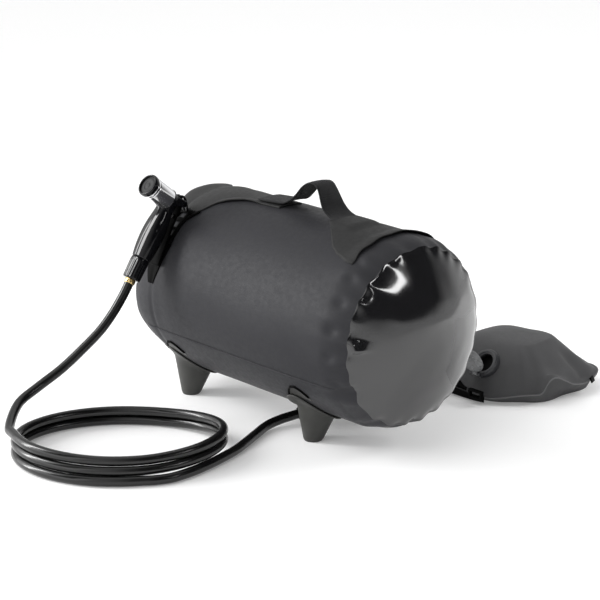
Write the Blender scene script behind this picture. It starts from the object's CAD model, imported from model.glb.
import math

import bmesh
import bpy
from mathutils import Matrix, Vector, noise


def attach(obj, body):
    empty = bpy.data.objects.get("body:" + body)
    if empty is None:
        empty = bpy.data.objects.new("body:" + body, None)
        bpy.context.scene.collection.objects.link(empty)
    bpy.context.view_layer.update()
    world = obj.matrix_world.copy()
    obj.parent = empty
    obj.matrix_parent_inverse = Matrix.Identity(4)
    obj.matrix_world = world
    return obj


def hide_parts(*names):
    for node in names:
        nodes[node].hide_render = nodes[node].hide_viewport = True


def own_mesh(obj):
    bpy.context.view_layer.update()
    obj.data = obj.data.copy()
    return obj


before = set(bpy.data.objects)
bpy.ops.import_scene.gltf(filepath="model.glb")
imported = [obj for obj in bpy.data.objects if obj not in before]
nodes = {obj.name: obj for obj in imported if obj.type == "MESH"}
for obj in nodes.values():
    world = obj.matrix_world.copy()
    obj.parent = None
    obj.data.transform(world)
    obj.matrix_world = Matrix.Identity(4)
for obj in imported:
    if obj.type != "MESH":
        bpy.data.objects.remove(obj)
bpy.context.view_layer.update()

# Places are written in millimetres from the middle of the tank's tube, on the ground
ORIGIN = (-4.2, 108.80463)
TANK_R = 125.0
AXIS_Z = 153.0
X_FRONT = 208.0
X_REAR = -208.0
HOSE_R = 6.25
SPRAY_LEAN = math.radians(34.4)
CAD_LEAN = math.radians(36.6)
HEAD = (-155.0, -97.789, 275.938)
BODY = "shower"
SHARP = math.radians(40)


def metres(p):
    return ((p[0] - ORIGIN[0]) / 1000, (p[1] - ORIGIN[1]) / 1000, p[2] / 1000)


def ease(x, x0, x1):
    t = max(0.0, min(1.0, (x - x0) / (x1 - x0)))
    return t * t * (3 - 2 * t)


def bump_at(deg, middle, width=20.0):
    """One at the middle angle and none far from it."""
    d = (deg - middle + 540) % 360 - 180
    return math.exp(-(d / width) ** 2)


def wobble(x, y, z):
    return noise.noise(Vector((x, y, z)))


def mix(a, b, t):
    return a + (b - a) * t


# Materials
def shader_of(mat):
    return mat.node_tree.nodes["Principled BSDF"]


def dial(mat, **values):
    """Sets inputs of a material's shader, with underscores for the spaces in their names."""
    for key, value in values.items():
        shader_of(mat).inputs[key.replace("_", " ")].default_value = value


def new_material(name, color, rough, metal=0.0, spec=0.5):
    mat = bpy.data.materials.new(name)
    mat.use_nodes = True
    dial(mat, Base_Color=(*color, 1), Roughness=rough, Metallic=metal, Specular_IOR_Level=spec)
    return mat


def add_node(mat, kind, **values):
    node = mat.node_tree.nodes.new(kind)
    for key, value in values.items():
        if hasattr(node, key):
            setattr(node, key, value)
        else:
            node.inputs[key.replace("_", " ")].default_value = value
    return node


def link(mat, a, b):
    mat.node_tree.links.new(a, b)


def coords(mat):
    found = mat.node_tree.nodes.get("Place")
    if found is None:
        found = mat.node_tree.nodes.new("ShaderNodeTexCoord")
        found.name = "Place"
    return found.outputs["Object"]


def noise_node(mat, scale, detail=4.0):
    node = add_node(mat, "ShaderNodeTexNoise", Scale=scale, Detail=detail)
    link(mat, coords(mat), node.inputs["Vector"])
    return node.outputs["Fac"]


def ramp(mat, fac, stops):
    node = add_node(mat, "ShaderNodeValToRGB")
    link(mat, fac, node.inputs["Fac"])
    elements = node.color_ramp.elements
    while len(elements) < len(stops):
        elements.new(0.5)
    for element, (pos, color) in zip(elements, stops):
        element.position = pos
        element.color = (*color, 1)
    return node.outputs["Color"]


def vary_color(mat, scale, low, high, detail=4.0):
    out = ramp(mat, noise_node(mat, scale, detail), [(0.3, low), (0.7, high)])
    link(mat, out, shader_of(mat).inputs["Base Color"])


def vary_rough(mat, scale, low, high, detail=3.0):
    out = ramp(mat, noise_node(mat, scale, detail), [(0.3, (low,) * 3), (0.7, (high,) * 3)])
    link(mat, out, shader_of(mat).inputs["Roughness"])


def add_bump(mat, height, strength, distance):
    shader = shader_of(mat)
    node = add_node(mat, "ShaderNodeBump", Strength=strength, Distance=distance)
    link(mat, height, node.inputs["Height"])
    if shader.inputs["Normal"].is_linked:
        link(mat, shader.inputs["Normal"].links[0].from_socket, node.inputs["Normal"])
    link(mat, node.outputs["Normal"], shader.inputs["Normal"])


def wave_node(mat, scale, direction):
    node = add_node(mat, "ShaderNodeTexWave", Scale=scale, bands_direction=direction)
    link(mat, coords(mat), node.inputs["Vector"])
    return node.outputs["Fac"]


def weave(mat, scale, strength, distance):
    node = add_node(mat, "ShaderNodeMath", operation="MULTIPLY")
    link(mat, wave_node(mat, scale, "X"), node.inputs[0])
    link(mat, wave_node(mat, scale, "Y"), node.inputs[1])
    add_bump(mat, node.outputs[0], strength, distance)


def coated_fabric(name, low, high, rough):
    mat = new_material(name, high, rough, spec=0.12)
    vary_color(mat, 9.0, low, high, 6.0)
    vary_rough(mat, 160.0, rough - 0.06, rough + 0.06)
    add_bump(mat, noise_node(mat, 900.0, 3.0), 0.12, 0.0004)
    weave(mat, 420.0, 0.10, 0.0003)
    dial(mat, Sheen_Weight=0.02, Sheen_Roughness=0.6)
    return mat


def webbing_fabric(name, low, high):
    mat = new_material(name, high, 0.78, spec=0.2)
    vary_color(mat, 60.0, low, high)
    weave(mat, 330.0, 0.6, 0.0006)
    add_bump(mat, noise_node(mat, 1500.0, 2.0), 0.2, 0.0002)
    dial(mat, Sheen_Weight=0.04)
    return mat


def plastic(name, color, rough, grain=1400.0, strength=0.08, spec=0.5):
    mat = new_material(name, color, rough, spec=spec)
    vary_color(mat, 40.0, tuple(c * 0.8 for c in color), color)
    vary_rough(mat, 120.0, rough - 0.04, rough + 0.05)
    add_bump(mat, noise_node(mat, grain, 2.0), strength, 0.0002)
    return mat


def metal(name, low, high, rough):
    mat = new_material(name, high, rough, metal=1.0)
    vary_color(mat, 30.0, low, high)
    vary_rough(mat, 220.0, max(0.02, rough - 0.03), rough + 0.04)
    return mat


M = {
    "tank": coated_fabric("tank_fabric", (0.0215, 0.0215, 0.0245), (0.0250, 0.0250, 0.0280), 0.50),
    "patch": coated_fabric("patch_fabric", (0.016, 0.016, 0.016), (0.020, 0.020, 0.020), 0.60),
    "flap": coated_fabric("flap_fabric", (0.028, 0.028, 0.028), (0.034, 0.034, 0.034), 0.60),
    "pump": coated_fabric("pump_fabric", (0.072, 0.072, 0.074), (0.085, 0.085, 0.087), 0.62),
    "piping": coated_fabric("pump_piping", (0.12, 0.12, 0.122), (0.16, 0.16, 0.162), 0.55),
    "webbing": webbing_fabric("webbing", (0.011, 0.011, 0.012), (0.017, 0.017, 0.018)),
    "lining": webbing_fabric("webbing_inside", (0.003, 0.003, 0.003), (0.006, 0.006, 0.006)),
    "foot": plastic("foot_rubber", (0.044, 0.044, 0.041), 0.46, 900.0, 0.12, 0.3),
    "black": plastic("black_plastic", (0.0012, 0.0012, 0.0012), 0.5, spec=0.03),
    "spray": plastic("spray_plastic", (0.003, 0.003, 0.004), 0.09, 500.0, 0.01, 0.3),
    "hose": plastic("hose_vinyl", (0.003, 0.003, 0.003), 0.22, 700.0, 0.01, 0.45),
    "grey": plastic("grey_plastic", (0.1, 0.1, 0.1), 0.5),
    "face": plastic("spray_face", (0.02, 0.02, 0.021), 0.45, spec=0.2),
    "seal": plastic("seal_rubber", (0.012, 0.012, 0.012), 0.6),
    "ring": plastic("intake_rubber", (0.022, 0.023, 0.026), 0.42),
    "cap": plastic("clear_cap", (0.26, 0.265, 0.27), 0.24),
    "foam": plastic("pump_foam", (0.3, 0.3, 0.26), 0.9, 300.0, 0.6),
    "chrome": metal("chrome_barrel", (0.72, 0.72, 0.73), (0.86, 0.86, 0.87), 0.10),
    "brass": metal("brass_ring", (0.62, 0.44, 0.18), (0.80, 0.60, 0.28), 0.2),
    "steel": metal("steel", (0.5, 0.5, 0.5), (0.62, 0.62, 0.62), 0.3),
}
film = new_material("front_film", (0.008, 0.008, 0.009), 0.06, spec=1.0)
vary_color(film, 7.0, (0.006, 0.006, 0.007), (0.010, 0.010, 0.011))
vary_rough(film, 30.0, 0.08, 0.12)
add_bump(film, noise_node(film, 14.0, 2.0), 0.15, 0.001)
M["film"] = film
# A slot has its material's name, without the number added where the frame has a material of that name
dial(M["cap"], Transmission_Weight=0.25)
dial(M["hose"], Coat_Weight=0.2, Coat_Roughness=0.28)


# Meshes
def put(name, data):
    """A new object in the scene."""
    obj = bpy.data.objects.new(name, data)
    bpy.context.scene.collection.objects.link(obj)
    return obj


def build(name, verts, faces, mat, slot=None, body=BODY, over=None):
    """A piece from points in millimetres, shown over a solid if one is named."""
    data = bpy.data.meshes.new(name)
    data.from_pydata([metres(v) for v in verts], [], faces)
    data.update()
    bm = bmesh.new()
    bm.from_mesh(data)
    bmesh.ops.recalc_face_normals(bm, faces=bm.faces)
    bm.to_mesh(data)
    bm.free()
    for poly in data.polygons:
        poly.use_smooth = True
    data.materials.append(M[mat])
    obj = put(name, data)
    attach(obj, body)
    if over:
        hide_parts(over)
    return obj


def grid_faces(rows, cols, wrap):
    faces = []
    for i in range(rows - 1):
        for j in range(cols if wrap else cols - 1):
            k = (j + 1) % cols
            faces.append((i * cols + j, i * cols + k, (i + 1) * cols + k, (i + 1) * cols + j))
    return faces


def fan(row, cols):
    """Faces from a row of a wrapped grid to the one point after it."""
    first, middle = row * cols, (row + 1) * cols
    return [(first + j, first + (j + 1) % cols, middle) for j in range(cols)]


def thicken(obj, mm, offset=1.0):
    mod = obj.modifiers.new("thickness", "SOLIDIFY")
    mod.thickness = mm / 1000
    mod.offset = offset


def soften(obj, mm, segments=2):
    mod = obj.modifiers.new("edge", "BEVEL")
    mod.width = mm / 1000
    mod.segments = segments
    mod.limit_method = "ANGLE"
    mod.angle_limit = SHARP


def lathe(profile, place, around, closed=False, flute=None):
    """Points and faces of a profile of (radius, height) turned round a place's own Z axis."""
    verts = []
    for r, h in profile:
        for k in range(around):
            a = 2 * math.pi * k / around
            rr = r + (flute(a, h) if flute else 0.0)
            verts.append(place(rr * math.cos(a), rr * math.sin(a), h))
    faces = grid_faces(len(profile), around, True)
    if closed:
        last = (len(profile) - 1) * around
        faces += [(last + k, last + (k + 1) % around, (k + 1) % around, k) for k in range(around)]
    return verts, faces


def rounded(points, r, steps=3):
    """A profile whose inner corners are rounded off by r."""
    out = [points[0]]
    for before, here, after in zip(points, points[1:], points[2:]):
        a = Vector(before) - Vector(here)
        b = Vector(after) - Vector(here)
        reach = min(r, a.length * 0.45, b.length * 0.45)
        start = Vector(here) + a.normalized() * reach
        end = Vector(here) + b.normalized() * reach
        for i in range(steps + 1):
            t = i / steps
            p = start * (1 - t) ** 2 + Vector(here) * 2 * t * (1 - t) + end * t * t
            out.append((p.x, p.y))
    out.append(points[-1])
    return out


def turned(name, profile, place, around, mat, closed=True, flute=None, **more):
    verts, faces = lathe(profile, place, around, closed, flute)
    return build(name, verts, faces, mat, **more)


def tube(name, line, r, resolution, mat):
    """A round cord or wire of radius r along a line of points."""
    data = bpy.data.curves.new(name, "CURVE")
    data.dimensions = "3D"
    data.bevel_depth = r / 1000
    data.bevel_resolution = resolution
    data.use_fill_caps = True
    spline = data.splines.new("POLY")
    spline.points.add(len(line) - 1)
    for point, p in zip(spline.points, line):
        point.co = (*metres(p), 1)
    spline.use_smooth = True
    data.materials.append(M[mat])
    obj = put(name, data)
    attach(obj, BODY)
    return obj


def smooth_path(points, step):
    """Points every step along a smooth curve through the given ones."""
    pts = [Vector(p) for p in points]
    dense = []
    for i in range(len(pts) - 1):
        p0 = pts[i - 1] if i else pts[0] * 2 - pts[1]
        p1, p2 = pts[i], pts[i + 1]
        p3 = pts[i + 2] if i + 2 < len(pts) else p2 * 2 - p1
        k1 = max((p1 - p0).length, 1e-6) ** 0.5
        k2 = max((p2 - p1).length, 1e-6) ** 0.5
        k3 = max((p3 - p2).length, 1e-6) ** 0.5
        m1 = (p2 - p1) + k2 * ((p1 - p0) / k1 - (p2 - p0) / (k1 + k2))
        m2 = (p2 - p1) + k2 * ((p3 - p2) / k3 - (p3 - p1) / (k2 + k3))
        count = max(2, int((p2 - p1).length / (step * 0.2)))
        for n in range(count):
            t = n / count
            h00 = 2 * t ** 3 - 3 * t ** 2 + 1
            h10 = t ** 3 - 2 * t ** 2 + t
            h01 = -2 * t ** 3 + 3 * t ** 2
            h11 = t ** 3 - t ** 2
            dense.append(p1 * h00 + m1 * h10 + p2 * h01 + m2 * h11)
    dense.append(pts[-1])
    total = sum((b - a).length for a, b in zip(dense, dense[1:]))
    count = max(2, round(total / step))
    out, want, run = [dense[0]], total / count, 0.0
    for a, b in zip(dense, dense[1:]):
        length = (b - a).length
        while run + length >= want - 1e-9 and len(out) < count:
            out.append(a.lerp(b, (want - run) / length) if length else b)
            want += total / count
        run += length
    out.append(dense[-1])
    return out


# Camera, at the photograph's place
AIM = Vector(metres((-4.5, 0, 154)))
BACK = Vector((0.718, -0.635, 0.2845)).normalized()
AWAY = 3.017
camera_data = bpy.data.cameras.new("camera")
camera_data.lens = 138
camera_data.sensor_width = 36
camera_data.clip_end = 100
camera = put("camera", camera_data)
camera.location = AIM + BACK * AWAY
camera.rotation_euler = BACK.to_track_quat("Z", "Y").to_euler()
bpy.context.scene.camera = camera


# Places on the hand spray
def leaning(lean, x, y, z):
    """A place in millimetres from the spray's head, along and across an axis that leans."""
    c, s = math.cos(lean), math.sin(lean)
    return (HEAD[0] + x, HEAD[1] + y * c + z * s, HEAD[2] - y * s + z * c)


def spray_place(x, y, z):
    return leaning(SPRAY_LEAN, x, y, z)


# Hose: riser from the hand spray, oval coil that turns from one angle to another, lead to the outlet
HOSE_FLOOR = HOSE_R + 0.15
HOSE_STEP = 12.55
COIL_MIDDLE = (-36, -276)
COIL_HALF = (131, 106)
COIL_TURN = math.radians(48.5)
COIL_FROM, COIL_TO = 200, 1000
DROPS = ((345, 440), (705, 800))
LEAN_OUT, NEST, LAST_SWING = 6, 2.13, 13
STRAIGHT = 12.5


def lean_out(deg):
    """How far the turn below leans out in front, from where the upper turn sinks towards it."""
    return LEAN_OUT * ease(deg, 200, 270) * (1 - ease(deg, 280, 330))


def nest(deg):
    """How far both upper turns sink in front, where the lowest turn has swung out."""
    return NEST * ease(deg, 190, 270) * (1 - ease(deg, 290, 345))


def coil_point(deg):
    """A place on the coil, which drops by the hose's thickness in two of its turns."""
    swing = lean_out(deg - 360) + LAST_SWING * ease(deg, 900, 990)
    a = math.radians(deg)
    u = (COIL_HALF[0] + swing) * math.cos(a)
    v = (COIL_HALF[1] + swing) * math.sin(a)
    c, s = math.cos(COIL_TURN), math.sin(COIL_TURN)
    z = HOSE_FLOOR + HOSE_STEP * (1 - ease(deg, *DROPS[0]) - ease(deg, *DROPS[1]))
    z += math.sqrt(HOSE_STEP ** 2 - lean_out(deg) ** 2) - nest(deg) - nest(deg - 360)
    return Vector((COIL_MIDDLE[0] + u * c - v * s, COIL_MIDDLE[1] + u * s + v * c, z))


def coil_heading(deg):
    return (coil_point(deg + 0.5) - coil_point(deg - 0.5)).normalized()


way_in, way_out = coil_heading(COIL_FROM), coil_heading(COIL_TO)
coil_first = coil_point(COIL_FROM) - STRAIGHT * way_in
coil_last = coil_point(COIL_TO) + STRAIGHT * way_out
COLLAR_END = -115.0
riser = [spray_place(0, 0, COLLAR_END), spray_place(0, 0, COLLAR_END - 24), (-155, -194.5, 139.5),
         (-156, -214, 120.5), (-160, -240, 100), (-166, -270, 78), (-170, -305, 60), (-163, -340, 48),
         coil_first - 2 * STRAIGHT * way_in, coil_first - STRAIGHT * way_in, coil_first]
coil = [coil_point(COIL_FROM + 15 * i) for i in range(54)]
ON_FLOOR = [(90, -292), (89, -258), (84, -230), (77, -203), (67, -172), (53, -142), (38, -112)]
lead = [coil_last, coil_last + STRAIGHT * way_out] + [(x, y, HOSE_FLOOR) for x, y in ON_FLOOR]
lead += [(26, -84, 7.5), (25, -60, 10), (30, -36, 13), (30, -18, 13)]
hose_line = smooth_path((riser + coil + lead)[::-1], 6.0)
hose = tube("hose", hose_line, HOSE_R, 6, "hose")
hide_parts("hose_riser", "hose_coil", "hose_lead")

# The tank's shape
FRONT_LONG, FRONT_DRAW = 42, 10.5
REAR_LONG, REAR_DRAW = 81, 16.0


def tank_radius(x):
    """The tank's radius, drawn in towards both seams."""
    if x > X_FRONT - FRONT_LONG:
        return TANK_R - FRONT_DRAW * ((x - X_FRONT + FRONT_LONG) / FRONT_LONG) ** 2
    if x < X_REAR + REAR_LONG:
        return TANK_R - REAR_DRAW * ((X_REAR + REAR_LONG - x) / REAR_LONG) ** 2
    return TANK_R


# Gathers of the front seam: angle round the tank in degrees, depth and half width
GATHERS = [(8, 2.5, 7), (24, 3.5, 6), (41, 4, 5), (53, 4.5, 5), (64, 3.5, 4.5), (76, 3, 5), (92, 2.5, 6),
           (108, 3, 5), (124, 4, 6), (140, 4, 5), (152, 3, 5), (166, 3.5, 5), (179, 4, 5), (193, 3, 5),
           (208, 5.5, 5), (224, 3, 6), (240, 3.5, 6), (257, 4, 5), (270, 4.5, 5), (284, 3.5, 6), (300, 4, 5),
           (317, 3, 6), (333, 3.5, 6), (349, 3, 6)]


def gather(deg):
    return sum(depth * bump_at(deg, at, width) for at, depth, width in GATHERS)


# Dimples behind the front seam: place along the tank, angle and depth
DIMPLES = [(178, 123, 2.2), (185, 134, 2.6), (187, 150, 2.8), (184, 167, 3.4), (184, 184, 3.2),
           (190, 200, 2.4)]


def skin_radius(x, deg):
    a = math.radians(deg)
    c, s = math.cos(a), math.sin(a)
    r = tank_radius(x) + 0.8 * wobble(x * 0.011, 1.5 * c, 1.5 * s)
    # Gathers and crumpled cloth at the front seam, shallower gathers at the rear one
    r -= gather(deg) * math.exp(-((X_FRONT - x) / 34) ** 1.5) * 0.95
    r += 2.3 * wobble(x * 0.02, 6.5 * c, 6.5 * s) * ease(x, 146, 196)
    back = (x - X_REAR) / 26
    r -= 2.6 * (0.5 + 0.5 * wobble(4 * c, 4 * s, 7.0)) * math.exp(-back ** 1.5)
    # Swellings: the front's upper shoulder and the rear's lower one
    r += 4.6 * math.exp(-((deg - 58) / 24) ** 2) * ease(x, 130, 205)
    r += 9.0 * math.exp(-((deg - 196) / 28) ** 2) * (1 - ease(x, -206, -140))
    # A groove on the near side where the ladder pulls, dimples, and a tuck from the front seam
    r -= 1.1 * ease(c, -0.2, -0.6) * math.exp(-((x + 164) / 3.0) ** 2)
    for at, turn, depth in DIMPLES:
        r -= depth * math.exp(-((x - at) / 9) ** 2 - ((deg - turn) / 3.2) ** 2)
    tuck = math.exp(-((deg - 203 - 0.12 * (X_FRONT - x)) / 1.3) ** 2)
    r -= 1.8 * tuck * ease(x, 178, 200)
    return r


def skin_point(x, deg, lift=0.0):
    a = math.radians(deg)
    r = skin_radius(x, deg) + lift
    return (x, r * math.cos(a), AXIS_Z + r * math.sin(a))


AROUND = 288
TANK_DEGS = [360 * j / AROUND for j in range(AROUND)]
TANK_RINGS = 151
xs = [mix(X_REAR, X_FRONT, i / (TANK_RINGS - 1)) for i in range(TANK_RINGS)]
verts = [skin_point(x, deg) for x in xs for deg in TANK_DEGS]
build("tank_skin", verts, grid_faces(TANK_RINGS, AROUND, True), "tank", over="tank_tube")

# Glossy front film, gathered at its seam
FILM_RINGS = 46
FILM_GAP = 0.3
FILM_DOME = 39.2
rim = [skin_radius(X_FRONT, deg) + FILM_GAP for deg in TANK_DEGS]
rim_mean = sum(rim) / AROUND
verts = []
for i in range(FILM_RINGS):
    s = 1 - (i / FILM_RINGS) ** 1.1
    for deg, rim_here in zip(TANK_DEGS, rim):
        a = math.radians(deg)
        r = rim_mean * s + (rim_here - rim_mean) * math.exp(-((1 - s) / 0.05) ** 1.3)
        pleat = gather(deg) * math.exp(-((1 - s) / 0.055) ** 1.3)
        fold = max(0.0, min(1.0, (deg - 168.7) / 8.6)) * (1 - ease(deg, 177.3, 180))
        fold *= math.exp(-((1 - s) / 0.17) ** 2) * ease(1 - s, 0.0, 0.03)
        x = X_FRONT + FILM_GAP + FILM_DOME * (1 - s * s) - 0.45 * pleat * ease(1 - s, 0.0, 0.02) + 8.0 * fold
        across, up = r * math.cos(a), r * math.sin(a)
        x += 0.6 * wobble(across * 0.014, up * 0.014, 3.0) * ease(1 - s, 0.0, 0.15)
        x += 0.35 * wobble(across * 0.045, up * 0.045, 5.0) * ease(1 - s, 0.0, 0.1)
        verts.append((x, across, AXIS_Z + up))
verts.append((X_FRONT + FILM_GAP + FILM_DOME, 0, AXIS_Z))
faces = grid_faces(FILM_RINGS, AROUND, True) + fan(FILM_RINGS - 1, AROUND)
build("front_film", verts, faces, "film", over="front_end_cap")

# Rear panel round the fill port
FILL_X = -236.0
FLAT_R = 43.0
NECK_HOLE = 27.2
REAR_RINGS, FLAT_RINGS = 24, 2
rows = REAR_RINGS + FLAT_RINGS + 1
verts = []
for i in range(rows):
    t = min(1.0, i / REAR_RINGS)
    for deg in TANK_DEGS:
        a = math.radians(deg)
        if i <= REAR_RINGS:
            r = mix(skin_radius(X_REAR, deg) - 0.6, FLAT_R, t)
        else:
            r = mix(FLAT_R, NECK_HOLE, (i - REAR_RINGS) / FLAT_RINGS)
        x = mix(X_REAR + 1, FILL_X, 1 - (1 - t) ** 2)
        x += 1.2 * wobble(r * 0.03 * math.cos(a), r * 0.03 * math.sin(a), 9.0) * (1 - t) * ease(t, 0, 0.2)
        verts.append((x, r * math.cos(a), AXIS_Z + r * math.sin(a)))
build("rear_panel", verts, grid_faces(rows, AROUND, True), "tank", over="rear_end_cap")

# Base panel, welded on round the underside
BASE_X = (-194, 196)
BASE_A = (204, 336)
nx, na = 110, 90
verts = []
for i in range(nx):
    x = mix(*BASE_X, i / (nx - 1))
    sink = 1.3 * (1 - ease(x, BASE_X[0], -178) + ease(x, 172, 192))
    verts += [skin_point(x, mix(*BASE_A, j / (na - 1)), 0.15 - sink) for j in range(na)]
base = build("base_skin", verts, grid_faces(nx, na, False), "tank", over="base_panel")
thicken(base, 0.6)

# Feet, moulded with a flare that follows the tank
FEET = [("front_near_foot", 90, -61), ("front_far_foot", 90, 61),
        ("rear_near_foot", -159, -61), ("rear_far_foot", -159, 61)]
FOOT_R = 12.25
FOOT_FLARE = 0.345
FOOT_LEAN = math.tan(math.radians(12))
FOOT_AROUND = 72
BELOW_TANK = 1.6
FOOT_UP = (0.08, 0.2, 0.35, 0.5, 0.65, 0.78, 0.88)
# Rows of the flare's lip: reach past the foot's side, and distance out from the tank
FOOT_LIP = ((4.0, 2.4), (7.0, 2.6), (8.2, 2.0), (8.0, 0.9), (6.0, 0.5), (5.0, -1.6))


def ground_gap(x, y):
    """Height just below the tank, above a place on the floor."""
    r = tank_radius(max(X_REAR, min(X_FRONT, x)))
    if abs(y) >= r:
        return TANK_R
    return AXIS_Z - math.sqrt(r * r - y * y) - BELOW_TANK


def foot_side(fx, fy, a, r, z):
    """A point of a foot, which leans towards the tank's middle."""
    return (fx + r * math.cos(a), fy - math.copysign(FOOT_LEAN, fy) * z + r * math.sin(a), z)


def foot_top(fx, fy, a):
    """Height at which a foot's side, leaning out from the floor, meets the tank."""
    z = 30.0
    for _ in range(30):
        x, y, _ = foot_side(fx, fy, a, FOOT_R + FOOT_FLARE * z, z)
        z = ground_gap(x, y)
    return z


for name, fx, fy in FEET:
    columns = []
    for k in range(FOOT_AROUND):
        a = 2 * math.pi * k / FOOT_AROUND
        high = foot_top(fx, fy, a)
        r_top = FOOT_R + FOOT_FLARE * high
        side = [(0.001, 0), (FOOT_R - 2.6, 0), (FOOT_R - 0.8, 0.25), (FOOT_R, 1.2)]
        side += [(FOOT_R + FOOT_FLARE * high * t, high * t) for t in FOOT_UP]
        side += [(r_top - 0.3, high * 0.93), (r_top + 1.0, high * 0.96)]
        column = [foot_side(fx, fy, a, r, z) for r, z in side]
        x_top, y_top, _ = foot_side(fx, fy, a, r_top, high)
        outward = max(0.0, math.sin(a) * math.copysign(1, fy))
        for reach, under in FOOT_LIP:
            reach *= 1 + 0.6 * outward ** 2
            x = x_top + reach * math.cos(a)
            y = y_top + reach * math.sin(a)
            z = ground_gap(x, y)
            off = under / math.hypot(y, z - AXIS_Z)
            column.append((x, y + off * y, z + off * (z - AXIS_Z)))
        columns.append(column)
    verts = [p for ring in zip(*columns) for p in ring]
    faces = grid_faces(len(columns[0]), FOOT_AROUND, True)
    build(name + "_moulding", verts, faces, "foot", over=name)


# Strips of cloth on the tank
def cloth_strip(name, columns, mat, thick, **more):
    """A sheet through columns of points, all with as many points."""
    verts = [p for column in columns for p in column]
    faces = grid_faces(len(columns), len(columns[0]), False)
    obj = build(name, verts, faces, mat, **more)
    thicken(obj, thick, 0.0)
    return obj


def lay_sheet():
    """Declares a strip of cloth that lies on the tank, with its flat size."""
    def run(points):
        return sum((Vector(b) - Vector(a)).length for a, b in zip(points, points[1:])) / 1000


# Carry strap: its middle line as places along the tank and heights
HANDLE = [(-66, 282.6), (-46, 284.2), (-28, 285.6), (-14, 288), (-3.5, 293.5), (6.2, 302), (16.3, 312.5),
          (27, 319.5), (36.5, 321.8), (44, 319.2), (50, 311.5), (55, 302), (60.5, 293.5), (69, 287),
          (80, 283), (92, 281.2), (110, 280.4)]
STRAP_HALF = 19
line = smooth_path([(x, 0, z) for x, z in HANDLE], 3.0)
columns = []
for p in line:
    lean = ease(p.x, -20, 5) * (1 - ease(p.x, 45, 62))
    column = []
    for k in range(13):
        y = STRAP_HALF * (k / 6 - 1)
        lift = 2.0 * lean * -y / STRAP_HALF
        fall = 1.2 * (y / STRAP_HALF) ** 2
        column.append((p.x - 4 * lean * y / STRAP_HALF, y, p.z + lift - fall))
    columns.append(column)
strap = cloth_strip("carry_strap", columns, "webbing", 2.0, over="handle_strap")
if sum(poly.normal.z for poly in strap.data.polygons) < 0:
    strap.data.flip_normals()
strap.data.materials.append(M["lining"])
strap.modifiers["thickness"].material_offset = 1

# Flap behind the strap: its near edge as places along the tank and angles round it
FLAP_EDGE = [(-206, 104), (-190, 112), (-174, 117.5), (-164, 120.5), (-148, 121), (-143, 123.8),
             (-133, 122.5), (-126, 117.8), (-119.5, 111.2), (-104, 105.6), (-86, 101), (-64, 99.8),
             (-24, 98.5)]
FLAP_FAR = (73.2, 80.5)


def along(table, x):
    """Value at x of a table of places and values, straight between them."""
    for (x0, v0), (x1, v1) in zip(table, table[1:]):
        if x <= x1:
            return mix(v0, v1, max(0.0, min(1.0, (x - x0) / (x1 - x0))))
    return table[-1][1]


columns = []
nx, ny = 130, 41
for i in range(nx):
    x = mix(FLAP_EDGE[0][0], FLAP_EDGE[-1][0], i / (nx - 1))
    near = sum(along(FLAP_EDGE, x + d) for d in (-3, -1.5, 0, 1.5, 3)) / 5
    far = mix(*FLAP_FAR, ease(x, -186, -164))
    column = []
    for k in range(ny):
        v = k / (ny - 1)
        deg = mix(far, near, v)
        swell = max(0.0, 1 - (2 * v - 1) ** 4)
        lift = 1.1 + 0.6 * swell + 7.0 * (1 - ease(x, -192, -160)) * (0.6 + 0.4 * swell)
        lift += 2.6 * ease(v, 0.8, 1.0) * ease(x, -130, -104) * (1 - ease(x, -78, -52))
        lift += 0.9 * wobble(x * 0.028, deg * 0.09, 2.0) * ease(x, -206, -180) * (1 - ease(x, -76, -60))
        lift -= 4.0 * (1 - ease(x, -206, -200))
        column.append(skin_point(x, deg, lift))
    columns.append(column)
flap = cloth_strip("rear_flap_cloth", columns, "flap", 1.8, slot="tank_fabric", over="rear_flap")
lay_sheet()

# Patch in front of the strap, with its front edge free
PATCH_X = (75, 173)
PATCH_HALF = (20, 75)
PATCH_R = 128.5
columns = []
nx, ny = 60, 41
for i in range(nx):
    x = mix(*PATCH_X, i / (nx - 1))
    widen = min(1.0, (x - PATCH_X[0]) / 64) * (1 - 0.1 * ease(x, 120, 139)) + 0.1 * ease(x, 139, 165)
    half = mix(*PATCH_HALF, widen)
    column = []
    for k in range(ny):
        v = 2 * k / (ny - 1) - 1
        y = v * half
        deg = 90 - math.degrees(math.asin(y / PATCH_R))
        lift = 3.9 * (1 - ease(abs(y), 19, 34)) * (1 - ease(x, 110, 130)) + 0.7
        lift += 3.2 * ease(x, 150, 173) * (1 - ease(abs(v), 0.7, 1.0)) - 0.5 * ease(abs(v), 0.8, 1.0)
        column.append(skin_point(x, deg, lift))
    columns.append(column)
patch = cloth_strip("front_patch_cloth", columns, "patch", 0.9, slot="tank_fabric", over="front_patch")
lay_sheet()

# Raised lip over each foot, as offsets from the foot and angles round the tank, and a web down to the flare
LIP = [(-12, 223.5), (-4, 218), (5, 214), (15, 212.5), (25, 214.5), (33, 219)]
LIP_OFFS = [mix(LIP[0][0], LIP[-1][0], i / 35) for i in range(36)]
WEB_END = 223


def beside_foot(foot, off, deg, lift):
    """A point on the tank beside a foot, mirrored for a foot on the far side."""
    _, fx, fy = foot
    return skin_point(fx + off, 180 - deg if fy > 0 else deg, lift)


for n, foot in enumerate(FEET):
    lip, web = [], []
    for off in LIP_OFFS:
        deg = along(LIP, off)
        across = (-1, -0.5, 0, 0.5, 1)
        lip.append([beside_foot(foot, off, deg + 0.9 * w, 0.2 + 2.4 * (1 - w * w)) for w in across])
        low = deg + 0.3
        span = [mix(low, max(low + 0.6, WEB_END), k / 8) for k in range(9)]
        web.append([beside_foot(foot, off, at, 0.7) for at in span])
    cloth_strip(f"foot_lip_{n}", lip, "black", 0.8, slot="foot_rubber")
    cloth_strip(f"foot_web_{n}", web, "foot", 0.6)

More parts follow.
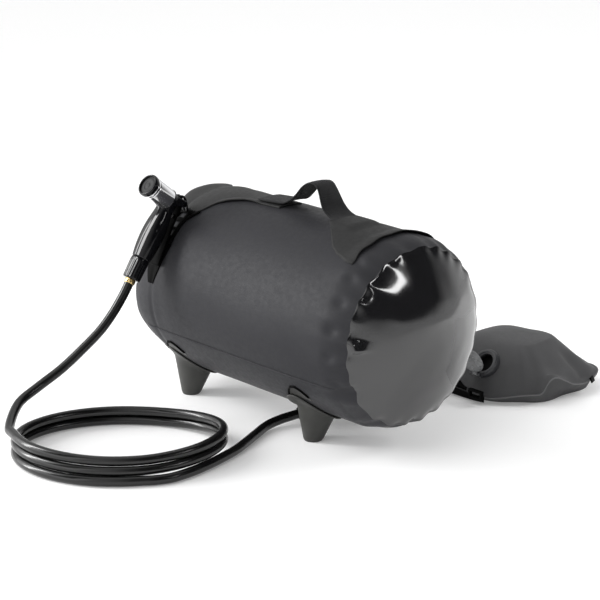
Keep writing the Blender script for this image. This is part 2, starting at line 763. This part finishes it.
# Ladder that holds the hand spray
LADDER_X = (-169, -140)
RAIL_A = (122.5, 146)
RUNGS = ((122.5, 125), (129.0, 132), (136.2, 138.2), (142.0, 147))
RAILS = ((LADDER_X[0], LADDER_X[0] + 6), (LADDER_X[1] - 6, LADDER_X[1]))
bars = [(*rail, *RAIL_A) for rail in RAILS] + [(*LADDER_X, *rung) for rung in RUNGS]
for n, (x0, x1, a0, a1) in enumerate(bars):
    nx, na = 6, max(4, int((a1 - a0) * 1.5))
    lift = 1.4 + 0.2 * (n % 2)
    angles = [mix(a0, a1, j / (na - 1)) for j in range(na)]
    verts = [skin_point(mix(x0, x1, i / (nx - 1)), deg, lift) for i in range(nx) for deg in angles]
    over = "holder_ladder" if n == 0 else None
    bar = build(f"ladder_{n}", verts, grid_faces(nx, na, False), "black", over=over)
    thicken(bar, 2.2)
    soften(bar, 0.6)

# Tail of the ladder, which tapers down the tank: angles, and places of its rear and front edges
TAIL_A = (147.2, 174)
TAIL_REAR, TAIL_FRONT = (-184, -172), (-141, -161)
columns = []
for i in range(40):
    t = i / 39
    x0, x1 = mix(*TAIL_REAR, t ** 2), mix(*TAIL_FRONT, t ** 1.4)
    columns.append([skin_point(mix(x0, x1, k / 11), mix(*TAIL_A, t), 0.5) for k in range(12)])
cloth_strip("ladder_tail", columns, "black", 0.9)

# Two black ties from the ladder to the flap's corner
TIES = (((-146, 127.2), (-136, 122.4)), ((-145, 133.6), (-129, 121.4)))
TIE_WIDE = 4.2
for n, ((x0, a0), (x1, a1)) in enumerate(TIES):
    columns = []
    for i in range(13):
        t = i / 12
        x, deg, lift = mix(x0, x1, t), mix(a0, a1, t), 1.6 + 1.2 * math.sin(math.pi * t)
        across = [TIE_WIDE * (k / 3 - 0.5) for k in range(4)]
        columns.append([skin_point(x + 0.8 * w, deg + 0.3 * w, lift) for w in across])
    cloth_strip(f"ladder_tie_{n}", columns, "black", 1.6)

# Hand spray
BARREL_LEAN = math.radians(38.5)


def barrel_place(x, y, z):
    return leaning(BARREL_LEAN, x, -z, y)


# Profiles of radius and height, the grip's along the hand spray and the others' along its barrel
GRIP = [(4.0, -85), (11.9, -85), (12.8, -83.8), (13.4, -80), (14.8, -70), (15.7, -55), (15.5, -42),
        (14.3, -31), (12.8, -22), (11.8, -15), (12.0, -10), (12.2, -5), (11.0, 0), (7.0, 4), (0.001, 6)]
SHELL = [(0.001, -10.5), (7.0, -9.6), (11.6, -6.4), (13.4, -2.0), (13.4, 2.3), (8, 2.3)]
BACK_RING = [(14, 2.5), (15.5, 2.5), (15.5, 4.7), (14, 4.7)]
BARREL = [(12.0, 2.4), (14.4, 2.4), (15.1, 3.2), (15.1, 33.3), (14.6, 34.1), (15.1, 34.9), (15.1, 37.2),
          (14.4, 37.85), (12.0, 37.85)]
BEZEL = [(9.5, 33), (11.8, 33), (11.8, 38), (14.8, 38), (15.6, 39), (15.6, 43.2), (14.4, 45), (13.0, 45),
         (12.4, 43.0), (12.4, 40.0), (9.5, 40.0)]
DISC = [(0.001, 43.2), (2.5, 43.2), (3.2, 42.6), (6.0, 42.6), (6.6, 43.0), (9.6, 43.0), (10.2, 42.4),
        (12.2, 42.4), (12.2, 40.2), (0.001, 40.2)]

# The grip is cut flat on the lever's side
LEVER_SIDE = 12.7
verts, faces = lathe(rounded(GRIP, 5.0, 5), spray_place, 64)
middle = Vector(spray_place(0, 0, 0))
across = Vector(spray_place(0, 1, 0)) - middle
for n, v in enumerate(verts):
    out = (Vector(v) - middle).dot(across)
    if out > LEVER_SIDE:
        verts[n] = tuple(Vector(v) - across * (out - LEVER_SIDE))
grip = build("grip", verts, faces, "spray", over="grip_body")
turned("spray_back", rounded(SHELL, 1.1, 4), barrel_place, 64, "spray", closed=False)
turned("back_ring", rounded(BACK_RING, 0.4), barrel_place, 64, "spray")
turned("barrel", rounded(BARREL, 0.5), barrel_place, 64, "chrome", over="spray_barrel")
turned("bezel", rounded(BEZEL, 0.7), barrel_place, 64, "spray", over="face_bezel")
turned("spray_disc", rounded(DISC, 0.3), barrel_place, 64, "face", closed=False, over="spray_plate")

# Fluted collar and brass ferrule
FERRULE = [(6.4, -115.2), (7.2, -115.2), (7.3, -118), (7.2, -121), (6.4, -121)]
FLUTES = 18


def flutes(a, z):
    groove = (0.5 + 0.5 * math.cos(FLUTES * a)) ** 2
    return -0.55 * groove * ease(z, COLLAR_END, COLLAR_END + 2) * (1 - ease(z, -91, -88.5))


profile = [(4.2, COLLAR_END), (11.0, COLLAR_END), (11.7, -114.2), (12.0, -112)]
profile += [(12.0 + 0.5 * i / 12, -112 + 21 * i / 12) for i in range(1, 13)]
profile += [(12.5, -88.5), (12.3, -86.4), (11.8, -85.2), (4.2, -85.2)]
collar = turned("collar", profile, spray_place, 144, "spray", flute=flutes, over="hose_collar")
ferrule = turned("ferrule", rounded(FERRULE, 0.5), spray_place, 48, "brass", over="hose_ferrule")


def plate(name, outline, x0, x1, mat, edge, place=spray_place, **more):
    """An outline in a place's Y and Z, the hand spray's unless another is given, drawn out from x0 to x1."""
    n = len(outline)
    verts = [place(x, y, z) for x in (x0, x1) for y, z in outline]
    faces = [tuple(range(n)), tuple(range(2 * n - 1, n - 1, -1))]
    faces += [(i, (i + 1) % n, n + (i + 1) % n, n + i) for i in range(n)]
    obj = build(name, verts, faces, mat, **more)
    soften(obj, edge, 3)
    obj.data.set_sharp_from_angle(angle=SHARP)
    return obj


def arc(cx, cy, r, a0, a1, n):
    angles = [math.radians(mix(a0, a1, i / n)) for i in range(n + 1)]
    return [(cx + r * math.cos(a), cy + r * math.sin(a)) for a in angles]


# Ears that hold the lever's pin, and the wire hook over them
PIN = (18.9, 6)
EAR_THICK = 3
for name, x0 in (("ear_near", -11.4), ("ear_far", 8.4)):
    outline = [(3, -4)] + arc(*PIN, 4.3, -70, 100, 12) + [(3, 9)]
    plate(name, outline, x0, x0 + EAR_THICK, "spray", 1.0)
half = [(4, 7, 8), (4, 11, 12.2), (4, 16, 14.4), (4, 20.5, 13.2), (4, 25, 9.6), (4, 29.5, 5.2),
        (3.6, 32.6, 2.2), (2.0, 34.0, 0.9)]
loop = [(-x, y, z) for x, y, z in half] + [(0, 34.4, 0.7)] + half[::-1]
tube("hook", smooth_path([spray_place(*p) for p in loop], 1.5), 1.7, 4, "spray")

# Trigger lever: its inner side from the pin down
LEVER_IN = [(16.7, -14), (17.9, -32), (22.2, -59.5), (24.3, -78), (24.9, -82)]
LEVER_THICK = 3.2
outline = arc(*PIN, 4.5, 15, 195, 10) + LEVER_IN + [(26.6, -83), (27.6, -80.5)]
outline += [(y + LEVER_THICK, z) for y, z in LEVER_IN[-2::-1] + [(16.7, 3)]]
plate("trigger_blade", outline, -8, 8, "black", 1.4, slot="spray_plastic", body="trigger",
      over="trigger_lever")

# Springs that shorten: node, joint, axis of the slide, and travel in mm
SPRINGS = (("plunger_spring", "plunger_slide", (0, -math.cos(CAD_LEAN), math.sin(CAD_LEAN)), 2.6),
           ("inlet_spring", "poppet_slide", (0, -1, 0), 3.0))
for node, joint, axis, travel in SPRINGS:
    cad = nodes[node]
    spring_mesh = cad.data.copy()
    spring_mesh.materials.clear()
    spring_mesh.materials.append(M["steel"])
    spring = put(node + "_wire", spring_mesh)
    spring.matrix_world = cad.matrix_world.copy()
    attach(spring, BODY)
    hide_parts(node)
    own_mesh(spring)

# Solids that are shown as they are
KEPT = {
    "black": ("fill_neck", "fill_cap", "cap_ring", "tether_strap", "inlet_body", "inlet_nut",
              "inlet_retainer", "outlet_elbow", "outlet_nut", "intake_flap", "pump_spigot", "pump_clip"),
    "seal": ("plunger_oring", "barrel_oring", "cap_gasket", "inlet_gasket", "inlet_washer", "outlet_gasket"),
    "steel": ("lever_pin", "inlet_poppet", "intake_pin"),
    "grey": ("valve_plunger", "outlet_strainer"),
}
for mat, names in KEPT.items():
    for name in names:
        nodes[name].data.materials.clear()
        nodes[name].data.materials.append(M[mat])

# Foot pump
PUMP = (97.0, 296.0)
PUMP_HALF = (104, 92)
SQUARE = 3.4
CREST = (6.0, 7.0)
SEAM_Z = 18.0
PUMP_HIGH = 52


def pump_edge(deg):
    """Reach of the pump's seam: a rounded square, drawn in at one corner and out at another."""
    a = math.radians(deg)
    across, deep = abs(math.cos(a) / PUMP_HALF[0]), abs(math.sin(a) / PUMP_HALF[1])
    r = (across ** SQUARE + deep ** SQUARE) ** (-1 / SQUARE)
    return r * (1 - 0.17 * bump_at(deg, -40) + 0.03 * bump_at(deg, 43))


def pump_point(share, grow, deg, z):
    """A place at a share of the way from the crest to the seam, plus millimetres to grow."""
    a = math.radians(deg)
    reach = share * pump_edge(deg) + grow
    return (PUMP[0] + CREST[0] * (1 - share) + reach * math.cos(a),
            PUMP[1] + CREST[1] * (1 - share) + reach * math.sin(a), z)


# Height of the pump's seam by direction, with a pleat near the front corner
RIM = [(-180, 18), (-125, 16), (-98, 10), (-75, 8), (-60, 8), (-46, 11), (-32, 14), (-24, 15), (-21, 17.5),
       (-19, 27), (-16, 34.5), (-13, 37), (-9, 36), (-3, 30), (6, 21), (16, 17), (26, 19), (38, 24), (52, 23),
       (70, 19), (180, 18)]


def pump_rim(deg):
    d = (deg + 540) % 360 - 180
    return sum(along(RIM, max(-180.0, min(180.0, d + e))) for e in (-1.4, -0.7, 0, 0.7, 1.4)) / 5


def soft_rim(deg):
    return sum(pump_rim(deg + e) for e in (-18, -12, -6, 0, 6, 12, 18)) / 7


def pump_skin(share, deg):
    """Height of the pump's cover: soft, with a straighter fall towards one corner, folds and creases."""
    a = math.radians(deg)
    c, s = math.cos(a), math.sin(a)
    toward = bump_at(deg, 40, 55)
    soft = max(0.0, 1 - share ** 2.53) ** 0.8
    fall = 1 - max(0.0, (share - 0.45) / 0.55) ** 1.08
    z = SEAM_Z + PUMP_HIGH * mix(soft, fall, toward)
    x, y, _ = pump_point(share, 0, deg, 0)
    z -= 0.055 * (0.66 * (x - 117) + 0.75 * (y - 318)) * (1 - ease(share, 0.3, 0.9))
    broad = soft_rim(deg)
    z += (broad - SEAM_Z) * ease(share, 0.74, 1.0) + (pump_rim(deg) - broad) * ease(share, 0.87, 1.0)
    edge = ease(share, 0.55, 0.8) * (1 - ease(share, 0.94, 1.0))
    crease = ease(share, 0.45, 0.7) * (1 - ease(share, 0.93, 1.0))
    z += 2.2 * bump_at(deg, -33, 5) * crease - 2.2 * bump_at(deg, -25, 5) * crease
    z -= 2.4 * bump_at(deg, -5, 8) * edge
    z -= 2.0 * bump_at(deg, -25, 6) * ease(share, 0.8, 0.93) * (1 - ease(share, 0.95, 1.0))
    z += 3.4 * bump_at(deg, 33, 7) * edge - 4.6 * bump_at(deg, 21, 5) * edge
    z += 2.2 * wobble(5.0 * c, 5.0 * s, 4.0) * ease(share, 0.45, 0.9) * (1 - ease(share, 0.93, 1.0))
    z += 1.6 * wobble(2.2 * share * c, 2.2 * share * s, 11.0) * (1 - ease(share, 0.8, 1.0))
    return z


def press_flat(obj):
    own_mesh(obj)


# Intake, and the hole for it in the pump's cover
INTAKE = (116.557, 227.212, 47.147)
TILT = math.radians(50)
COVER_HOLE = 19.3
HOLE_DEEP = 20


def intake_place(x, y, z):
    c, s = math.cos(TILT), math.sin(TILT)
    return (INTAKE[0] + x, INTAKE[1] + y * c - z * s, INTAKE[2] + y * s + z * c)


intake_axis = (Vector(intake_place(0, 0, 1)) - Vector(INTAKE)).normalized()


def from_intake(p):
    """How far a point lies along the intake's axis, and how far aside from it."""
    off = Vector(p) - Vector(INTAKE)
    depth = off.dot(intake_axis)
    return depth, (off - intake_axis * depth).length


def in_hole(p):
    depth, aside = from_intake(p)
    return abs(depth) < HOLE_DEEP and aside < COVER_HOLE


# Cover of the pump
PUMP_AROUND = 360
PUMP_DEGS = [360 * j / PUMP_AROUND for j in range(PUMP_AROUND)]
FLANGE = 3.6
COVER_LIFT = 0.9
shares = [1.0 - 0.98 * (i / 60) ** 0.9 for i in range(61)]
verts = [pump_point(1, FLANGE, deg, pump_rim(deg) + COVER_LIFT) for deg in PUMP_DEGS]
for s in shares:
    verts += [pump_point(s, 0, deg, pump_skin(s, deg) + COVER_LIFT) for deg in PUMP_DEGS]
verts.append((PUMP[0] + CREST[0], PUMP[1] + CREST[1], pump_skin(0, 0) + COVER_LIFT))
faces = grid_faces(len(shares) + 1, PUMP_AROUND, True) + fan(len(shares), PUMP_AROUND)
faces = [f for f in faces if not in_hole(sum((Vector(verts[i]) for i in f), Vector()) / len(f))]
bag = build("pump_cover", verts, faces, "pump", over="pump_bag")
press_flat(bag)

# Pump base and the welded edge: rows of share, growth, part of the seam's height, and lift
DISH = [(0.0, 0, 0, 0), (0.5, 0, 0, 0), (0.88, 0, 0, 0), (0.915, 0, 0, 0.5), (0.935, 0, 0.12, 1.5),
        (0.955, 0, 0.35, 1), (0.975, 0, 0.6, 0.5), (0.99, 0, 0.82, 0), (1.0, 0.4, 0.96, 0),
        (1.0, FLANGE, 1.0, -0.2), (1.0, FLANGE, 1.0, 0.5)]
PIPING = [(-0.6, 1.3), (0.5, 1.2), (0.8, 0.5), (0.5, -0.3), (-0.6, -0.4)]
verts = []
for share, grow, part, lift in DISH:
    for deg in PUMP_DEGS:
        drawn = share * (1 - 0.09 * bump_at(deg, 10, 20) * (1 - ease(share, 0.94, 1.0)))
        verts.append(pump_point(drawn, grow, deg, part * pump_rim(deg) + lift))
press_flat(build("pump_dish", verts, grid_faces(len(DISH), PUMP_AROUND, True), "pump", over="pump_base"))
verts = [pump_point(1, FLANGE + out, deg, pump_rim(deg) + lift) for out, lift in PIPING for deg in PUMP_DEGS]
faces = grid_faces(len(PIPING), PUMP_AROUND, True)
press_flat(build("pump_piping", verts, faces, "piping", slot="pump_fabric"))

# Foam inside, hollowed behind the intake so that the flap can open
HOLLOW_DEEP, HOLLOW_R = 30, 29
FOAM_UNDER = 8.5
FOAM_FLOOR = 2.2


def clear_of_intake(p):
    depth, aside = from_intake(p)
    return tuple(Vector(p) - intake_axis * max(0.0, depth + HOLLOW_DEEP) * ease(HOLLOW_R - aside, 0, 7))


foam_rings = [(0.0, 0, None), (0.86, -4, None)]
foam_rings += [(mix(0.86, 0.3, i / 27), -6, FOAM_UNDER) for i in range(28)]
foam_rings += [(0.25, -4, FOAM_UNDER), (0.02, 0, FOAM_UNDER)]
verts = []
for share, grow, drop in foam_rings:
    for deg in PUMP_DEGS:
        z = FOAM_FLOOR if drop is None else max(3.0, pump_skin(share, deg) - drop)
        verts.append(clear_of_intake(pump_point(share, grow, deg, z)))
foam = build("foam_block", verts, grid_faces(len(foam_rings), PUMP_AROUND, True), "foam", over="foam_core")
press_flat(foam)

# Intake ring and flip cap
RING = [(13.5, -4.5), (20.5, -4.5), (20.5, 2.0), (19.0, 4.5), (16.0, 4.5), (14.6, 3.0), (13.5, 3.0)]
turned("intake_lip", rounded(RING, 0.9), intake_place, 64, "ring", body="intake", over="intake_ring")
HINGE = (-19.5, 7.9)
OPEN = math.radians(60)


def hinge_place(x, y, z):
    """The intake's frame turned so that the hinge, on its -X side, is at the foot of the ring."""
    return intake_place(-y, x, z)


def cap_place(x, y, z):
    """A place on the flip cap, which is drawn closed and stands open."""
    dx, dz = x - HINGE[0], z - HINGE[1]
    c, s = math.cos(OPEN), math.sin(OPEN)
    return hinge_place(HINGE[0] + dx * c - dz * s, y, HINGE[1] + dx * s + dz * c)


def crumple(a, h):
    return 0.9 * wobble(1.6 * math.cos(a), 1.6 * math.sin(a), h * 0.22) * ease(h, 7.5, 10)


LID = [(0.001, 0.5), (9.5, 1.0), (12.0, 2.5), (12.4, 4.9), (16.5, 4.9), (17.2, 5.8), (16.6, 7.4), (16.0, 8.6),
       (15.2, 12.0), (11.0, 15.6), (4.6, 17.0), (0.001, 17.2)]
turned("flip_lid", rounded(LID, 1.6, 4), cap_place, 72, "cap", closed=False, flute=crumple,
       body="flip_cap", over="intake_cap")
knuckle = [(-14.4, 6.9)] + arc(*HINGE, 2.95, -15, 265, 18) + [(-14.4, 4.95)]
plate("cap_knuckle", knuckle, -3.9, 3.9, "cap", 0.4, lambda t, u, v: cap_place(u, t, v), body="flip_cap")
lug = arc(*HINGE, 3.0, -10, 190, 14) + [(-22.3, 3.6), (-16.8, 3.6)]
for n, (t0, t1) in enumerate(((-9.4, -4.4), (4.4, 9.4))):
    plate(f"hinge_lug_{n}", lug, t0, t1, "ring", 0.5, lambda t, u, v: hinge_place(u, t, v), body="intake")

# Strap on the pump's front edge, and its corner tab
BAND_A = (-106, -66)
FOLD_A = (-114, -86)
columns = []
for i in range(60):
    deg = mix(*BAND_A, i / 59)
    columns.append([pump_point(1, 5.6, deg, mix(2.4, pump_rim(deg) + 2.5, k / 5)) for k in range(6)])
press_flat(cloth_strip("pump_band", columns, "black", 1.4, slot="webbing", over="pump_strap"))
columns = []
for i in range(40):
    deg = mix(*FOLD_A, i / 39)
    low = mix(0.93, 0.985, ease(deg, -108, FOLD_A[1]))
    steps = [mix(1.0, low, k / 7) for k in range(8)]
    columns.append([pump_point(share, 0, deg, pump_skin(share, deg) + 2.0) for share in steps])
press_flat(cloth_strip("band_fold", columns, "black", 1.0, slot="webbing"))
TAB_AT = 25
TAB_OUT = 3.2
tab_x, tab_y, _ = pump_point(1, 3.8, TAB_AT, 0)
c, s = math.cos(math.radians(TAB_AT)), math.sin(math.radians(TAB_AT))
across = [mix(-8, 6, k / 4) for k in range(5)]
columns = []
for i in range(8):
    t = i / 7
    out = TAB_OUT * t
    z = mix(pump_rim(TAB_AT) + 5, pump_rim(TAB_AT) - 2, t)
    columns.append([(tab_x + out * c - w * s, tab_y + out * s + w * c, z) for w in across])
cloth_strip("corner_tab", columns, "black", 1.2, slot="webbing", over="pump_tab")

# Floor and light
FLOOR = 14
CORNERS = ((-1, -1), (1, -1), (1, 1), (-1, 1))


def staged(mat, verts, faces, glow):
    """A mesh that is no piece of the part, of a material that glows white."""
    dial(mat, Emission_Color=(1, 1, 1, 1), Emission_Strength=glow)
    data = bpy.data.meshes.new(mat.name)
    data.from_pydata(verts, [], faces)
    data.materials.append(mat)
    obj = put(mat.name, data)
    return obj


floor_mat = new_material("floor", (0.85, 0.85, 0.85), 0.7, spec=0.2)
staged(floor_mat, [(FLOOR * x, FLOOR * y, 0) for x, y in CORNERS], [(0, 1, 2, 3)], 0.18)


def aim(obj, place, target):
    obj.location = place
    obj.rotation_euler = (Vector(place) - Vector(target)).to_track_quat("Z", "Y").to_euler()
    obj.visible_camera = False


def softbox(name, place, target, wide, tall, power):
    data = bpy.data.lights.new(name, "AREA")
    data.shape = "RECTANGLE"
    data.size = wide
    data.size_y = tall
    data.energy = power
    obj = put(name, data)
    aim(obj, place, target)
    return obj


sun = bpy.data.lights.new("key", "SUN")
sun.energy = 2.5
sun.angle = math.radians(90)
aim(put("key", sun), Vector((-0.52, -0.76, 0.38)) * 3, (0, 0, 0))
softbox("left", (-1.25, -1.35, 0.85), (-0.1, -0.15, 0.15), 0.3, 1.4, 25)
right = softbox("right", (0.95, 1.45, 1.1), (0.1, 0.18, 0.05), 0.9, 0.7, 18)
right.visible_glossy = False


def card(name, verts, faces, strength):
    """A bright shape that is seen only where something glossy mirrors it."""
    obj = staged(new_material(name, (0, 0, 0), 0.5), verts, faces, strength)
    obj.visible_camera = False
    obj.visible_diffuse = False
    obj.visible_shadow = False
    return obj


# A strip that only the hand spray's grip and collar mirror, as one narrow streak
STREAK_TO = Vector((-0.08, -0.745, 0.66))
STREAK_AWAY = 1.5
STREAK_HALF = (0.36, 0.7)
middle = Vector(metres(spray_place(0, 0, -50))) + STREAK_TO * STREAK_AWAY
up = Vector((0, math.sin(SPRAY_LEAN), math.cos(SPRAY_LEAN)))
side = up.cross(STREAK_TO).normalized()
verts = [middle + side * STREAK_HALF[0] * x + up * STREAK_HALF[1] * z for x, z in CORNERS]
streak = card("streak", verts, [(0, 1, 2, 3)], 22)
glossy = bpy.data.collections.new("glossy")
for obj in (grip, collar):
    glossy.objects.link(obj)
streak.light_linking.receiver_collection = glossy

# Bent strips that show as a gleam in the film: middle and half sizes in Y and Z, angles, and width, in metres
GLEAM = ((0.24, 1.30, 0.385, 0.42, 30, -150, 0.125), (-0.37, 0.90, 0.07, 0.07, -115, -50, 0.06))
GLEAM_X = 1.5
STEPS = 40
verts = []
faces = []
for cy, cz, ry, rz, a0, a1, wide in GLEAM:
    first = len(verts)
    for i in range(STEPS + 1):
        t = i / STEPS
        a = math.radians(mix(a0, a1, t))
        half = wide * (0.18 + 0.82 * math.sin(math.pi * min(1.0, t * 1.15)) ** 0.8) / 2
        for reach in (-half, half):
            y, z = cy + (ry + reach) * math.cos(a), cz + (rz + reach) * math.sin(a)
            verts.append((GLEAM_X - ORIGIN[0] / 1000, y - ORIGIN[1] / 1000, z))
    faces += [(n, n + 1, n + 3, n + 2) for n in range(first, first + 2 * STEPS, 2)]
card("gleam", verts, faces, 12)

# A white card that the film mirrors in place of the pump, brighter upwards as the floor is further off
SCREEN = ((-60, 190, 1), (290, 190, 1), (290, 190, 150), (-60, 190, 150))
screen = card("screen", [metres(p) for p in SCREEN], [(0, 1, 2, 3)], 1.0)
paint = screen.data.materials[0]
place = add_node(paint, "ShaderNodeTexCoord")
height = add_node(paint, "ShaderNodeSeparateXYZ")
level = add_node(paint, "ShaderNodeMapRange", To_Min=0.7, To_Max=1.5)
link(paint, place.outputs["Generated"], height.inputs["Vector"])
link(paint, height.outputs["Z"], level.inputs["Value"])
link(paint, level.outputs["Result"], shader_of(paint).inputs["Emission Strength"])

# A pale room, dark towards the upper front right, which the film mirrors
world = bpy.data.worlds.new("studio")
world.use_nodes = True
DARK_TO = Vector((0.80, 0.30, 0.52)).normalized()
place = add_node(world, "ShaderNodeTexCoord")
facing = add_node(world, "ShaderNodeVectorMath", operation="DOT_PRODUCT")
facing.inputs[1].default_value = DARK_TO
link(world, place.outputs["Generated"], facing.inputs[0])
levels = ((0.0, 0.66), (0.30, 1.1), (0.52, 0.85), (0.8, 0.03))
shade = ramp(world, facing.outputs["Value"], [(at, (level,) * 3) for at, level in levels])
low_sky = add_node(world, "ShaderNodeSeparateXYZ")
haze = add_node(world, "ShaderNodeMapRange", interpolation_type="SMOOTHSTEP", From_Max=0.14,
                To_Min=0.9, To_Max=0.0)
lighter = add_node(world, "ShaderNodeMath", operation="MAXIMUM")
link(world, place.outputs["Generated"], low_sky.inputs["Vector"])
link(world, low_sky.outputs["Z"], haze.inputs["Value"])
link(world, shade, lighter.inputs[0])
link(world, haze.outputs["Result"], lighter.inputs[1])
background = world.node_tree.nodes["Background"]
background.inputs["Strength"].default_value = 1.0
link(world, lighter.outputs["Value"], background.inputs["Color"])
bpy.context.scene.world = world
bpy.context.scene.view_settings.view_transform = "Standard"
